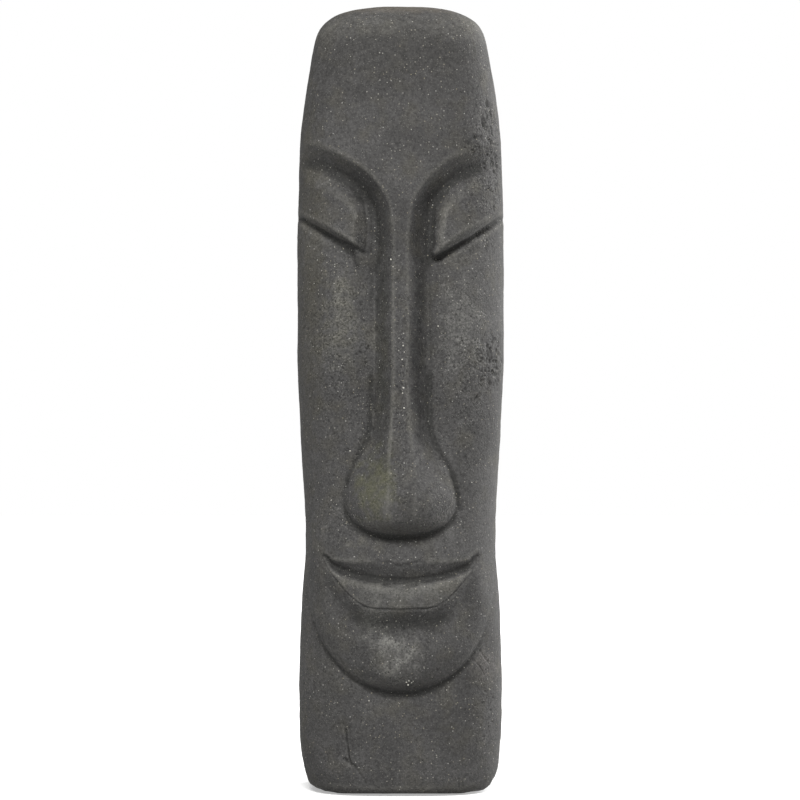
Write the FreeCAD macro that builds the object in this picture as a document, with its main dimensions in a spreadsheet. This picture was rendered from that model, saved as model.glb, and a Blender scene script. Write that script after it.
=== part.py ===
"""Tiki figure: a tall, stylised head, cast hollow in stone-filled cement.

The casting is made in a two-part mould, so it is a front shell and a back shell
joined by a strip of mortar down both flanks and over the crown. Glass scrim lines
each shell, a tape of the same scrim bridges the joint inside, a plate bedded in
mortar closes the foot, and the figure stands on four rubber pads.

The face looks towards -Y and +Z is up. While it is modelled the mould's parting
plane is y = 0; the placements then move everything so that the origin is under
the middle of the figure. Sizes are in millimetres.
"""

import FreeCAD
import Part
import Sketcher
import math
import os
from bisect import bisect_right

DIMENSIONS = {
    # the whole figure
    "total_height": 762,
    "pad_height": 2,
    "pad_radius": 12.5,
    "pad_spacing_across": 104,
    "pad_spacing_deep": 58,
    # joint between the two castings
    "seam_width": 6,
    "tape_reach": 25,
    # cavity: half width, front depth, back depth, corner radius at each level
    "foot_level": 1,
    "foot_half": 72,
    "foot_front": 50,
    "foot_back": 54,
    "jaw_level": 245,
    "jaw_half": 74,
    "jaw_front": 50,
    "jaw_back": 60,
    "eye_level": 500,
    "eye_half": 78,
    "eye_front": 42,
    "eye_back": 58,
    "brow_level": 660,
    "brow_half": 74,
    "brow_front": 46,
    "brow_back": 54,
    "crown_level": 735,
    "crown_half": 50,
    "crown_front": 33,
    "crown_back": 33,
    "corner_radius": 30,
    # lining and foot
    "scrim_thick": 1.2,
    "plate_thick": 12,
    "drain_radius": 8,
    "bedding_height": 14,
    "bedding_width": 16,
    # filled in below, once the nose's reach is known
    "parting_plane": 0,
}

# Stations of the outer form: (height, size)
HALF_WIDTH = [
    (2, 84.5), (5, 88), (10, 90.5), (19, 94.5), (37, 97), (57, 98.8), (86, 99.5),
    (135, 98.5), (174, 97), (212, 94.5), (234, 93), (256, 93), (282, 94), (330, 97),
    (379, 99.5), (428, 101), (526, 101), (574, 100), (623, 98.5), (648, 96.5),
    (671, 93.5), (700, 88.5), (762, 78.5),
]
FRONT_DEPTH = [
    (2, 76), (6, 79.5), (16, 81.5), (60, 82.5), (200, 84), (300, 84.5), (450, 84.5),
    (575, 82.5), (623, 80.5), (671, 77), (700, 73.5), (762, 64),
]
BACK_DEPTH = [
    (2, 68), (6, 71.5), (16, 74), (100, 78), (300, 78), (500, 76), (623, 73),
    (700, 67), (762, 58),
]
FRONT_ROUNDNESS = 3.0  # exponent of the plan outline: 2 is an ellipse, more is squarer
BACK_ROUNDNESS = 2.6
CROWN_START = 700.0
CROWN_ROUNDNESS = 5.5
CROWN_ROUNDNESS_DEEP = 4.0
CAP_SHARE = 0.02  # the crown ends in a flat this large, as a share of its plan

# Lines of the face: (across, height), right half
BROW = [
    (7, 290), (7, 425), (7, 494), (7.5, 533), (9, 547.5), (11, 564), (17, 578),
    (29, 593), (43.5, 605), (60, 614), (75.5, 620.5), (95.5, 627), (112, 629),
]
LID_EDGE = [(20, 505), (33, 516), (43, 526), (55, 535.5), (69.5, 545), (84.5, 552.5), (99.5, 559), (112, 563)]
LID_FOOT = [(20, 503), (31.5, 511.5), (45.5, 519), (57.5, 526), (73, 536), (87, 545.5), (99.5, 554), (112, 560)]
UPPER_LIP = [(0, 222.5), (9.5, 225), (20.5, 227), (42.5, 225.5), (55, 226), (66.5, 227), (76.5, 230.5)]
MOUTH = [(0, 205.5), (24, 207.5), (43.5, 211.5), (61.5, 218.5), (75.5, 230)]
LOWER_LIP = [(0, 180), (23.5, 180.5), (34, 182.5), (44.5, 189), (54, 198), (66.5, 213), (75.5, 228.5)]
MOUTH_HALF = 76.5

# Depths of the face: (height, depth below or above the brow)
CHEEK_DROP = [
    (168, 0), (212, 1), (247, 4), (287, 8), (326, 11), (376, 13), (426, 14.5),
    (475, 17.5), (520, 21), (595, 22), (634, 22),
]
RIDGE_RISE = [(240, 23), (262, 22), (280, 20), (298, 17), (332, 12), (378, 7.5), (425, 4), (473, 1.5), (534, 0)]

# Nose: (height, half width at its foot)
NOSE_FOOT = [
    (280, 54.5), (290, 53.5), (306, 49.5), (317, 44), (328.5, 36), (345, 28.5), (365, 25.5), (391, 25), (700, 25),
]
RIDGE_HALF = [(275, 14), (306, 12.5), (328, 11.5), (352, 9.5), (375, 8), (400, 7), (700, 7)]
BROW_SLOPE = 18.0
NOSE_CENTRE = 290.0
NOSE_BOTTOM = 250.5

# Jaw: an arch upside down, standing proud of the neck
JAW_CENTRE = 225.0
JAW_HALF = 91.0
JAW_DEEP = 124.5
JAW_SHAPE = 2.25
JAW_ROLL = 15.0
NECK_DROP = 12.0


def clamp(value, low=0.0, high=1.0):
    return max(low, min(high, value))


def ease(share):
    """0 to 1 with soft ends."""
    share = clamp(share)
    return share * share * (3 - 2 * share)


def bump(value, centre, reach, power=2.0):
    """1 at the centre, falling to nothing past the reach."""
    return math.exp(-abs((value - centre) / reach) ** power)


def round_max(first, second, blend):
    """The larger of two values, with the corner between them rounded."""
    share = clamp(0.5 + 0.5 * (first - second) / blend)
    return second + (first - second) * share + blend * share * (1 - share)


def round_min(first, second, blend):
    return -round_max(-first, -second, blend)


def station_slope(stations, index):
    """Slope of a station curve at one station: none at a peak, so it never overshoots."""
    last = len(stations) - 1
    before = stations[max(index - 1, 0)]
    here = stations[index]
    after = stations[min(index + 1, last)]
    if index == 0 or index == last:
        return (after[1] - before[1]) / (after[0] - before[0])
    rising = (here[1] - before[1]) / (here[0] - before[0])
    leaving = (after[1] - here[1]) / (after[0] - here[0])
    if rising * leaving <= 0:
        return 0.0
    return 2 * rising * leaving / (rising + leaving)


def along(stations, position):
    """Value at a position on the smooth curve through (position, value) stations."""
    places = [station[0] for station in stations]
    if position <= places[0]:
        return stations[0][1]
    if position >= places[-1]:
        return stations[-1][1]
    index = bisect_right(places, position) - 1
    (start, low), (end, high) = stations[index], stations[index + 1]
    span = end - start
    share = (position - start) / span
    leave = station_slope(stations, index) * span
    arrive = station_slope(stations, index + 1) * span
    value = (2 * share**3 - 3 * share**2 + 1) * low
    value += (share**3 - 2 * share**2 + share) * leave
    value += (3 * share**2 - 2 * share**3) * high
    value += (share**3 - share**2) * arrive
    return value


def smooth_line(points, steps=6):
    """Points of a smooth curve through a few given ones."""
    line = []
    last = len(points) - 1
    for index in range(last):
        before, start = points[max(index - 1, 0)], points[index]
        end, after = points[index + 1], points[min(index + 2, last)]
        for step in range(steps):
            share = step / steps
            line.append(tuple(
                0.5 * (2 * start[axis] + (end[axis] - before[axis]) * share
                       + (2 * before[axis] - 5 * start[axis] + 4 * end[axis] - after[axis]) * share**2
                       + (3 * start[axis] - before[axis] - 3 * end[axis] + after[axis]) * share**3)
                for axis in (0, 1)
            ))
    line.append(points[-1])
    return line


BROW_LINE = smooth_line(BROW)


def brow_distance(across, height):
    """Distance from the brow line, positive on the cheek side of it."""
    nearest, side = 1e9, 1.0
    for (x0, z0), (x1, z1) in zip(BROW_LINE, BROW_LINE[1:]):
        run, climb = x1 - x0, z1 - z0
        share = clamp(((across - x0) * run + (height - z0) * climb) / (run**2 + climb**2))
        away_x, away_z = across - x0 - share * run, height - z0 - share * climb
        distance = math.hypot(away_x, away_z)
        if distance < nearest - 1e-9:
            nearest = distance
            side = 1.0 if away_x * climb > away_z * run else -1.0
    return side * nearest


def slope_share(distance):
    """How far down the brow's slope: 0 on the brow, 1 at the slope's foot."""
    share = round_max(distance / BROW_SLOPE, 0.0, 0.1)
    return round_min(share, 1.0, 0.26)


def cheek_level(across, height, distance):
    """Level of the cheek and eye, measured from the brow; negative is deeper."""
    drop = along(CHEEK_DROP, height)
    drop += 5.0 * bump(across, 24, 15) * ease((height - 288) / 70) * ease((634 - height) / 40)
    drop -= 8.5 * bump(across, 66, 27) * bump(height, 432, 88)
    return lid_level(across, height, distance) - drop


def lid_level(across, height, distance):
    """Rise of the closed eyelid above the cheek, and the groove under its edge."""
    edge = along(LID_EDGE, across)
    foot = along(LID_FOOT, across)
    high = ease((height - 530) / 55)
    start = 21.0 - 12.0 * high
    width = 8.0 + 22.0 * high
    bulge = 12.0 * ease((distance - start) / width)
    groove = 2.5 * ease((across - 29) / 12)
    if height >= edge:
        return bulge
    if height > foot:
        share = (height - foot) / (edge - foot)
        return bulge * share**0.8 - groove * (1 - share)
    return -groove * math.exp((height - foot) / 5.0) - 0.6 * groove * bump(height, foot - 14, 14)


def nose_dome(across, height):
    """Share of the nose's height at a point of its rounded lower end."""
    if height <= NOSE_BOTTOM:
        return 0.0
    side = abs(across / along(NOSE_FOOT, height)) ** 3.0
    low = clamp((NOSE_CENTRE - height) / (NOSE_CENTRE - NOSE_BOTTOM)) ** 2.6
    reach = side + low
    if reach >= 1:
        return 0.0
    return (1 - reach) ** (0.5 + 0.2 * side / max(reach, 1e-6))


def brow_and_nose(across, height, distance, cheek):
    """Level of brow, ridge and nose over the cheek."""
    rise = along(RIDGE_RISE, height)
    foot = along(NOSE_FOOT, height)
    full = ease((326 - height) / 44)
    ridge = along(RIDGE_HALF, height)
    share_out = (across - ridge) / (foot - ridge)
    narrow = ease((430 - height) / 40)
    distance = distance * (1 - narrow) + share_out * BROW_SLOPE * narrow
    slope = 1 - slope_share(distance)
    dome = nose_dome(across, height)
    share = slope * (1 - full) + dome * full
    facets = 15.0 * full * dome * (0.4 - round_max(share_out, 0.0, 0.05))
    return cheek + (rise - cheek) * share + facets, dome * full


def mouth_level(across, height):
    """Cut of the mouth: undercut upper lip, full lower lip, fold below it."""
    if across >= MOUTH_HALF:
        return 0.0
    upper = along(UPPER_LIP, across)
    line = along(MOUTH, across)
    lower = along(LOWER_LIP, across)
    end = ease((MOUTH_HALF - across) / 14)
    if height > line:
        share = clamp((upper - height) / max(upper - line, 0.5))
        return -10.0 * end * share
    if height > lower:
        share = (line - height) / max(line - lower, 0.5)
        return end * (2.0 * share - 0.5 - 10.0 * math.exp((height - line) / 3.2))
    under = lower - height
    depth = 2.5 + 3.0 * ease((56 - across) / 20)
    fall = depth * ease(under / 16.0) ** 0.8
    if under > 16:
        fall *= bump(under, 16, 18)
    return end * (1.5 * math.exp(-under / 3.0) - fall)


def chin_level(across, height):
    reach = 22.0 + 26.0 * ease((height - 100) / 70)
    chin = 8.0 * bump(across, 0, reach, 3) * bump(height, 131, 27, 2.8)
    hollow = 4.0 * bump(across, 65.5, 20) * bump(height, 167.5, 32)
    return chin - hollow


def jaw_over_neck(across, height, level):
    """Roll the jaw's edge down to the neck, and fade it out up the flanks."""
    below = max(0.0, JAW_CENTRE - height) / JAW_DEEP
    reach = ((across / JAW_HALF) ** JAW_SHAPE + below**JAW_SHAPE) ** (1 / JAW_SHAPE)
    inside = (1 - reach) * JAW_HALF
    lift = 0.0
    if inside > 0:
        share = clamp(inside / JAW_ROLL)
        lift = math.sqrt(1 - (1 - share) ** 2)
    rolled = -NECK_DROP + (level + NECK_DROP) * lift
    fade = ease((296 - height) / 70)
    return level + (rolled - level) * fade


def relief(across, height):
    """Depth of the carving at a point of the face, from the plain outer form."""
    across = abs(across)
    distance = brow_distance(across, height)
    cheek = cheek_level(across, height, distance)
    level, nose = brow_and_nose(across, height, distance, cheek)
    level += 7.0 * bump(across, 0, 62, 4) * bump(height, 200, 46, 3) * (1 - nose)
    level += mouth_level(across, height) + chin_level(across, height)
    return jaw_over_neck(across, height, level)


def crown_share(height, roundness):
    """How much of the plan outline is left at a height, as the crown closes over."""
    rise = clamp((height - CROWN_START) / (DIMENSIONS["total_height"] - CROWN_START))
    return math.sqrt(max(0.0, 1 - rise**roundness))


def outline_point(share, height, depths, roundness, side, carving):
    """Point of the outer form; share is -1 to 1 of the half width."""
    across = share * along(HALF_WIDTH, height) * crown_share(height, CROWN_ROUNDNESS)
    depth = along(depths, height) * crown_share(height, CROWN_ROUNDNESS_DEEP)
    edge = max(0.0, 1 - abs(share) ** roundness) ** (1 / roundness)
    if carving and height < CROWN_START - 10:
        depth += relief(across, height)
    return FreeCAD.Vector(across, side * edge * depth, height)


def plan_shares(count, roundness):
    """Evenly turned places round half a plan outline, as shares of the half width."""
    shares = []
    for index in range(count + 1):
        turn = math.pi * index / count
        across, deep = -math.cos(turn), math.sin(turn)
        reach = (abs(across) ** roundness + deep**roundness) ** (1 / roundness)
        shares.append(across / reach)
    shares[0], shares[-1] = -1.0, 1.0
    return shares


def face_shares(middle, step, flank_count):
    """Places round the front: even steps across the face, then evenly turned round the flanks."""
    half = max(size for height, size in HALF_WIDTH)
    inner = [index * step / half for index in range(int(middle / step) + 1)]
    outer = [share for share in plan_shares(2 * flank_count, FRONT_ROUNDNESS) if share > inner[-1] + step / half]
    right = inner + outer
    return [-share for share in reversed(right[1:])] + right


def row_heights(bands, crown_rows=22):
    """Heights of the form's sections: even in each band, closing up over the crown."""
    start = DIMENSIONS["pad_height"]
    heights = [start, start + 1.5, start + 3.5]
    for end, step in bands:
        while heights[-1] + 1.5 * step < end:
            heights.append(heights[-1] + step)
        heights.append(end)
    first = crown_share(heights[-1], CROWN_ROUNDNESS)
    span = DIMENSIONS["total_height"] - CROWN_START
    for index in range(1, crown_rows + 1):
        share = first + (CAP_SHARE - first) * index / crown_rows
        heights.append(CROWN_START + span * (1 - share**2) ** (1 / CROWN_ROUNDNESS))
    return heights


FACE_BANDS = [(90, 8), (172, 2.5), (272, 1.8), (345, 3), (490, 5), (635, 2.2), (730, 7)]


def chord_places(points):
    """Distances along a row of points, which a smooth curve through them keeps."""
    places = [0.0]
    for before, point in zip(points, points[1:]):
        places.append(places[-1] + before.distanceToPoint(point))
    return places


def skin_through(grid, places_round, places_up):
    """Smooth surface through a grid of points: first round each section, then up."""
    sections = []
    for level in range(len(places_up)):
        section = Part.BSplineCurve()
        section.interpolate(Points=[column[level] for column in grid], Parameters=places_round)
        sections.append(section)
    poles = []
    for index in range(sections[0].NbPoles):
        riser = Part.BSplineCurve()
        riser.interpolate(Points=[section.getPole(index + 1) for section in sections], Parameters=places_up)
        poles.append(riser.getPoles())
    skin = Part.BSplineSurface()
    skin.buildFromPolesMultsKnots(
        poles,
        sections[0].getMultiplicities(), riser.getMultiplicities(),
        sections[0].getKnots(), riser.getKnots(),
        False, False, sections[0].Degree, riser.Degree,
    )
    return skin.toShape()


def edge_between(edges, start, end):
    """The edge of a face whose ends are two given corners."""
    for edge in edges:
        ends = [vertex.Point for vertex in edge.Vertexes]
        if min(point.distanceToPoint(start) for point in ends) < 0.01:
            if min(point.distanceToPoint(end) for point in ends) < 0.01:
                return edge
    raise ValueError("no edge between the corners")


def half_form(heights, shares, depths, roundness, side, carving):
    """One half of the solid outer form, closed by the parting plane, foot and crown."""
    grid = [
        [outline_point(share, height, depths, roundness, side, carving) for height in heights]
        for share in shares
    ]
    widest = [column[len(heights) // 2] for column in grid]
    skin = skin_through(grid, chord_places(widest), chord_places(grid[0]))
    foot_left, foot_right = grid[0][0], grid[-1][0]
    top_left, top_right = grid[0][-1], grid[-1][-1]
    foot = edge_between(skin.Edges, foot_left, foot_right)
    top = edge_between(skin.Edges, top_left, top_right)
    left = edge_between(skin.Edges, foot_left, top_left)
    right = edge_between(skin.Edges, foot_right, top_right)
    foot_line = Part.makeLine(foot_left, foot_right)
    top_line = Part.makeLine(top_left, top_right)
    parting = Part.Wire(Part.__sortEdges__([foot_line, right, top_line, left]))
    faces = [
        skin,
        Part.Face(Part.Wire([foot, foot_line])),
        Part.Face(Part.Wire([top, top_line])),
        Part.Face(parting),
    ]
    shell = Part.makeShell(faces)
    shell.sewShape(0.01)
    solid = Part.makeSolid(Part.Shell(shell.Faces))
    if solid.Volume < 0:
        solid.reverse()
    return solid


def make_sheet(document):
    """Spreadsheet of the driving dimensions, each cell named by an alias."""
    sheet = document.addObject("Spreadsheet::Sheet", "Dimensions")
    for row, (name, value) in enumerate(DIMENSIONS.items(), start=1):
        sheet.set(f"A{row}", name)
        sheet.set(f"B{row}", str(value))
        sheet.setAlias(f"B{row}", name)
    return sheet


def bind(thing, **expressions):
    """Bind properties to the sheet; a double underscore stands for a dot."""
    for name, expression in expressions.items():
        thing.setExpression(name.replace("__", "."), expression)
    return thing


def make_outer_form(document, sheet):
    """The two carved halves, and the parting plane that centres the figure."""
    heights = row_heights(FACE_BANDS)
    front = document.addObject("Part::Feature", "front_form")
    front_shares = face_shares(84, 1.75, 40)
    front.Shape = half_form(heights, front_shares, FRONT_DEPTH, FRONT_ROUNDNESS, -1, True)
    back = document.addObject("Part::Feature", "back_form")
    back_shares = plan_shares(40, BACK_ROUNDNESS)
    back.Shape = half_form(heights, back_shares, BACK_DEPTH, BACK_ROUNDNESS, 1, False)
    nose_reach = -front.Shape.BoundBox.YMin
    back_reach = back.Shape.BoundBox.YMax
    sheet.set(sheet.getCellFromAlias("parting_plane"), f"{(nose_reach - back_reach) / 2:.3f}")
    return front, back


def origin_plane(body, role):
    for feature in body.Origin.OriginFeatures:
        if feature.Role == role:
            return feature
    raise ValueError("the body has no " + role)


def rounded_section(body, level, inset):
    """Sketch of the cavity at one level: a rectangle with round corners."""
    sketch = body.newObject("Sketcher::SketchObject", level + "_section")
    sketch.AttachmentSupport = (origin_plane(body, "XY_Plane"), [""])
    sketch.MapMode = "FlatFace"
    half = DIMENSIONS[level + "_half"]
    radius = DIMENSIONS["corner_radius"]
    front = radius - DIMENSIONS[level + "_front"]
    back = DIMENSIONS[level + "_back"] - radius
    centres = [(radius - half, front), (half - radius, front), (half - radius, back), (radius - half, back)]
    for index, (across, deep) in enumerate(centres):
        start = math.pi * (index / 2 - 1)
        end = start + math.pi / 2
        circle = Part.Circle(FreeCAD.Vector(across, deep, 0), FreeCAD.Vector(0, 0, 1), radius)
        sketch.addGeometry(Part.ArcOfCircle(circle, start, end), False)
        next_across, next_deep = centres[(index + 1) % 4]
        out = FreeCAD.Vector(math.cos(end) * radius, math.sin(end) * radius, 0)
        side_start = FreeCAD.Vector(across, deep, 0) + out
        side_end = FreeCAD.Vector(next_across, next_deep, 0) + out
        sketch.addGeometry(Part.LineSegment(side_start, side_end), False)
    constrain_section(sketch)
    less = f" - {inset}" if inset else ""
    bind(
        sketch,
        Constraints__corner="Dimensions.corner_radius" + less,
        Constraints__right=f"Dimensions.{level}_half" + less,
        Constraints__left=f"Dimensions.{level}_half" + less,
        Constraints__front=f"Dimensions.{level}_front" + less,
        Constraints__back=f"Dimensions.{level}_back" + less,
        AttachmentOffset__Base__z=f"Dimensions.{level}_level" + (less if level == "crown" else ""),
    )
    return sketch


def constrain_section(sketch):
    """Tangent corners, square sides and named sizes; arcs are even, lines odd."""
    for arc in (0, 2, 4, 6):
        sketch.addConstraint(Sketcher.Constraint("Tangent", arc, 2, arc + 1, 1))
        sketch.addConstraint(Sketcher.Constraint("Tangent", arc + 1, 2, (arc + 2) % 8, 1))
    for line, direction in ((1, "Horizontal"), (3, "Vertical"), (5, "Horizontal"), (7, "Vertical")):
        sketch.addConstraint(Sketcher.Constraint(direction, line))
    for arc in (2, 4, 6):
        sketch.addConstraint(Sketcher.Constraint("Equal", 0, arc))
    root = (-1, 1)
    named = [
        ("corner", Sketcher.Constraint("Radius", 0, 30)),
        ("right", Sketcher.Constraint("DistanceX", *root, 3, 1, 70)),
        ("left", Sketcher.Constraint("DistanceX", 7, 1, *root, 70)),
        ("front", Sketcher.Constraint("DistanceY", 1, 1, *root, 50)),
        ("back", Sketcher.Constraint("DistanceY", *root, 5, 1, 50)),
    ]
    for name, constraint in named:
        sketch.renameConstraint(sketch.addConstraint(constraint), name)


def cavity_loft(document, name, inset="", levels=("foot", "jaw", "eye", "brow", "crown")):
    """Smooth hollow through the cavity's sections, drawn in by an inset."""
    body = document.addObject("PartDesign::Body", name)
    sections = [rounded_section(body, level, inset) for level in levels]
    loft = body.newObject("PartDesign::AdditiveLoft", name + "_loft")
    loft.Profile = sections[0]
    loft.Sections = sections[1:]
    body.Tip = loft
    return body


def boolean(document, kind, name, base, tool):
    """A Part::Cut or Part::Common of two objects."""
    result = document.addObject("Part::" + kind, name)
    result.Base = base
    result.Tool = tool
    return result


def slab(document, name, front, back, low, high):
    """A box right across the figure; its depth and height limits are expressions."""
    box = document.addObject("Part::Box", name)
    return bind(
        box,
        Length="Dimensions.foot_half * 4",
        Width=f"({back}) - ({front})",
        Height=f"({high}) - ({low})",
        Placement__Base__x="-Dimensions.foot_half * 2",
        Placement__Base__y=front,
        Placement__Base__z=low,
    )


FAR = "Dimensions.total_height"
PLATE_TOP = "Dimensions.pad_height + Dimensions.plate_thick"
BEDDING_TOP = PLATE_TOP + " + Dimensions.bedding_height"
SEAM = "Dimensions.seam_width"
TAPE = "Dimensions.tape_reach"


def make_shells(document, front, back, cavity):
    """Front shell, back shell and the strip of mortar between them."""
    joint = slab(document, "joint", "-" + SEAM, SEAM, "-1", FAR + " + 1")
    joint_blank = boolean(document, "Common", "joint_blank", back, joint)
    back_blank = boolean(document, "Cut", "back_blank", back, joint)
    return {
        "front_shell": boolean(document, "Cut", "front_shell", front, cavity),
        "back_shell": boolean(document, "Cut", "back_shell", back_blank, cavity),
        "seam_mortar": boolean(document, "Cut", "seam_mortar", joint_blank, cavity),
    }


def make_lining(document, cavity):
    """Glass scrim on both shells and the tape of scrim over their joint."""
    lined = cavity_loft(document, "lined_cavity", "Dimensions.scrim_thick")
    taped = cavity_loft(document, "taped_cavity", "2 * Dimensions.scrim_thick")
    scrim = boolean(document, "Cut", "scrim_layer", cavity, lined)
    tape = boolean(document, "Cut", "tape_layer", lined, taped)
    front_room = slab(document, "front_room", "-" + FAR, "0", BEDDING_TOP, FAR)
    back_room = slab(document, "back_room", "0", FAR, BEDDING_TOP, FAR)
    tape_room = slab(document, "tape_room", "-" + TAPE, TAPE, BEDDING_TOP, FAR)
    return {
        "front_scrim": boolean(document, "Common", "front_scrim", scrim, front_room),
        "back_scrim": boolean(document, "Common", "back_scrim", scrim, back_room),
        "seam_tape": boolean(document, "Common", "seam_tape", tape, tape_room),
    }


def make_base(document, cavity):
    """Plate that closes the foot, with its drain hole, and the mortar that beds it."""
    plate_room = slab(document, "plate_room", "-" + FAR, FAR, "Dimensions.pad_height", PLATE_TOP)
    plate = boolean(document, "Common", "plate_blank", cavity, plate_room)
    drain = document.addObject("Part::Cylinder", "drain")
    bind(drain, Radius="Dimensions.drain_radius", Height="Dimensions.plate_thick + 2 * Dimensions.pad_height")
    bedding_room = slab(document, "bedding_room", "-" + FAR, FAR, PLATE_TOP, BEDDING_TOP)
    bedding = boolean(document, "Common", "bedding_blank", cavity, bedding_room)
    well = cavity_loft(document, "bedding_well", "Dimensions.bedding_width", ("foot", "jaw"))
    return {
        "base_plate": boolean(document, "Cut", "base_plate", plate, drain),
        "base_mortar": boolean(document, "Cut", "base_mortar", bedding, well),
    }


def make_pads(document):
    """Four rubber pads, set in from the rim."""
    pads = {}
    for deep, side_name in ((-1, "front"), (1, "rear")):
        for across, hand in ((-1, "right"), (1, "left")):
            name = f"foot_pad_{side_name}_{hand}"
            pad = document.addObject("Part::Cylinder", name)
            bind(
                pad,
                Radius="Dimensions.pad_radius",
                Height="Dimensions.pad_height",
                Placement__Base__x=f"{across} * Dimensions.pad_spacing_across / 2",
                Placement__Base__y=f"{deep} * Dimensions.pad_spacing_deep / 2 + Dimensions.parting_plane",
            )
            pads[name] = pad
    return pads


def check(document, sub_parts):
    """Stop if any object failed or any sub-part is not one sound solid."""
    for thing in document.Objects:
        if "Invalid" in thing.State or "Error" in thing.State:
            raise RuntimeError(f"{thing.Name} failed: {thing.State}")
    for name, thing in sub_parts.items():
        shape = thing.Shape
        if shape.isNull() or not shape.isValid() or len(shape.Solids) != 1:
            raise RuntimeError(f"{name} is not one valid solid")
        points = [point for point in shape.tessellate(0.5)[0]]
        spans = [max(point[axis] for point in points) - min(point[axis] for point in points) for axis in range(3)]
        print(name, "spans", [round(span, 1) for span in spans])


def main():
    document = FreeCAD.newDocument("TikiFigure")
    sheet = make_sheet(document)
    document.recompute()
    front, back = make_outer_form(document, sheet)
    cavity = cavity_loft(document, "cavity")
    castings = make_shells(document, front, back, cavity)
    castings.update(make_lining(document, cavity))
    castings.update(make_base(document, cavity))
    for casting in castings.values():
        bind(casting, Placement__Base__y="Dimensions.parting_plane")
    sub_parts = {**castings, **make_pads(document)}
    for name, thing in sub_parts.items():
        thing.Label = name
    document.recompute()
    check(document, sub_parts)
    os.makedirs("parts", exist_ok=True)
    for name, thing in sub_parts.items():
        thing.Shape.exportStep(f"parts/{name}.step")


main()
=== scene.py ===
# %% [markdown]
# # A cast-stone tiki figure
#
# The object is a garden head, 762 mm tall. It is built as such heads usually are:
# cast hollow in two halves, from cement filled with dark stone grit, with the
# halves stuck together with mortar. What shows is one rough, matt, charcoal
# surface: the carving is soft at its edges, grit glints in it, and the casting is
# pitted along the joint, cracked low down and chipped at its foot.
#
# The CAD nodes give the outer form. Here one fine mesh is drawn tightly over both
# castings and the mortar between them, roughened and damaged as one thing, and
# only then cut into the front shell, the strip of mortar and the back shell.

# %% Start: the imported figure
import math

import bmesh
import bpy
import numpy as np
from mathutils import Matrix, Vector


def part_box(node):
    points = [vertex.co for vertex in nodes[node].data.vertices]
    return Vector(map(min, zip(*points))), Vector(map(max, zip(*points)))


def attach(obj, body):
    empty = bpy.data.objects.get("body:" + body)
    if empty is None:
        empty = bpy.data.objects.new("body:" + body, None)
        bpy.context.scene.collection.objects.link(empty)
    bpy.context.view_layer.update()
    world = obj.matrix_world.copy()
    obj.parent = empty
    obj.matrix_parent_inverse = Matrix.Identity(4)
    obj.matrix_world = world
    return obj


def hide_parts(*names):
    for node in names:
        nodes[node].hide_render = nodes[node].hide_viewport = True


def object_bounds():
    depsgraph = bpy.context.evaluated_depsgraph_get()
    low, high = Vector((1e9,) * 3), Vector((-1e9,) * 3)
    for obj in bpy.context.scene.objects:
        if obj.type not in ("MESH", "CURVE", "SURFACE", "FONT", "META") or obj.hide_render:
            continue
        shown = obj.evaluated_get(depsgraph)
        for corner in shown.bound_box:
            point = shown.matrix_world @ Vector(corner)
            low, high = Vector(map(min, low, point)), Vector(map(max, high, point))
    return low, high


MM = 0.001
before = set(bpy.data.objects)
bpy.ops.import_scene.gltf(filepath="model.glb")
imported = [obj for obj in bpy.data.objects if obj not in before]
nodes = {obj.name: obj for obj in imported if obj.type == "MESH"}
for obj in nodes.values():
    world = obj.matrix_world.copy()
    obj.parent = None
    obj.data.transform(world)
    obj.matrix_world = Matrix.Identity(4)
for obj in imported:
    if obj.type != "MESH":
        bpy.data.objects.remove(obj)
cad_low, cad_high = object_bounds()
low, high = Vector(cad_low), Vector(cad_high)
foot_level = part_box("front_shell")[0].z
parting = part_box("seam_mortar")[0].y
mortar_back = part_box("seam_mortar")[1].y
print("figure", [round(v / MM, 1) for v in (*low, *high)], "parting plane", round(parting / MM, 2))

# %% [markdown]
# ## A sleeve over the castings
#
# A sculptor would start from a smooth blank. So does this: a ring is drawn out
# upwards into a sleeve that stands a little clear of the figure, and closed over
# the crown like a thimble. A Shrinkwrap modifier then pulls each vertex straight
# in, along its own normal, until it meets the castings. That keeps the mesh in
# even rows, which a sculpting brush or a Displace modifier needs, where the CAD
# node's triangles are long and uneven.

# %% Helpers for working by hand
def only(*objects):
    """Select these objects and nothing else; the first is active."""
    bpy.ops.object.select_all(action="DESELECT")
    for thing in objects:
        thing.select_set(True)
    bpy.context.view_layer.objects.active = objects[0]


def apply_modifier(thing, kind, **settings):
    """Add a modifier with its settings and apply it at once."""
    modifier = thing.modifiers.new(kind.lower(), kind)
    for name, value in settings.items():
        setattr(modifier, name, value)
    only(thing)
    bpy.ops.object.modifier_apply(modifier=modifier.name)


def read_points(thing):
    """The vertices of a mesh as an array, in metres."""
    points = np.empty(len(thing.data.vertices) * 3, np.float32)
    thing.data.vertices.foreach_get("co", points)
    return points.reshape(-1, 3).astype(float)


def read_normals(thing):
    """Which way each vertex faces, as an array."""
    normals = np.empty(len(thing.data.vertices) * 3, np.float32)
    thing.data.vertices.foreach_get("normal", normals)
    return normals.reshape(-1, 3).astype(float)


def write_points(thing, points):
    """Put the vertices of a mesh where an array says."""
    thing.data.vertices.foreach_set("co", points.astype(np.float32).ravel())
    thing.data.update()


print("an array holds a node's", len(read_points(nodes["front_shell"])), "corners")

# %% The sleeve's sizes
SLEEVE_CLEARANCE = 16 * MM
RING_POINTS = 336
ROW_STEP = 2.1 * MM  # between rows, a little more than between the points of a ring
LIFTS = 5  # long steps in which the sleeve is drawn up, before each is divided
CROWN_ROWS = 40
CROWN_RISE = 84 * MM
FIRST_ROW = foot_level + 0.06 * MM  # just inside the shells' lower edge
SAME_LEVEL = 0.01 * MM

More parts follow.
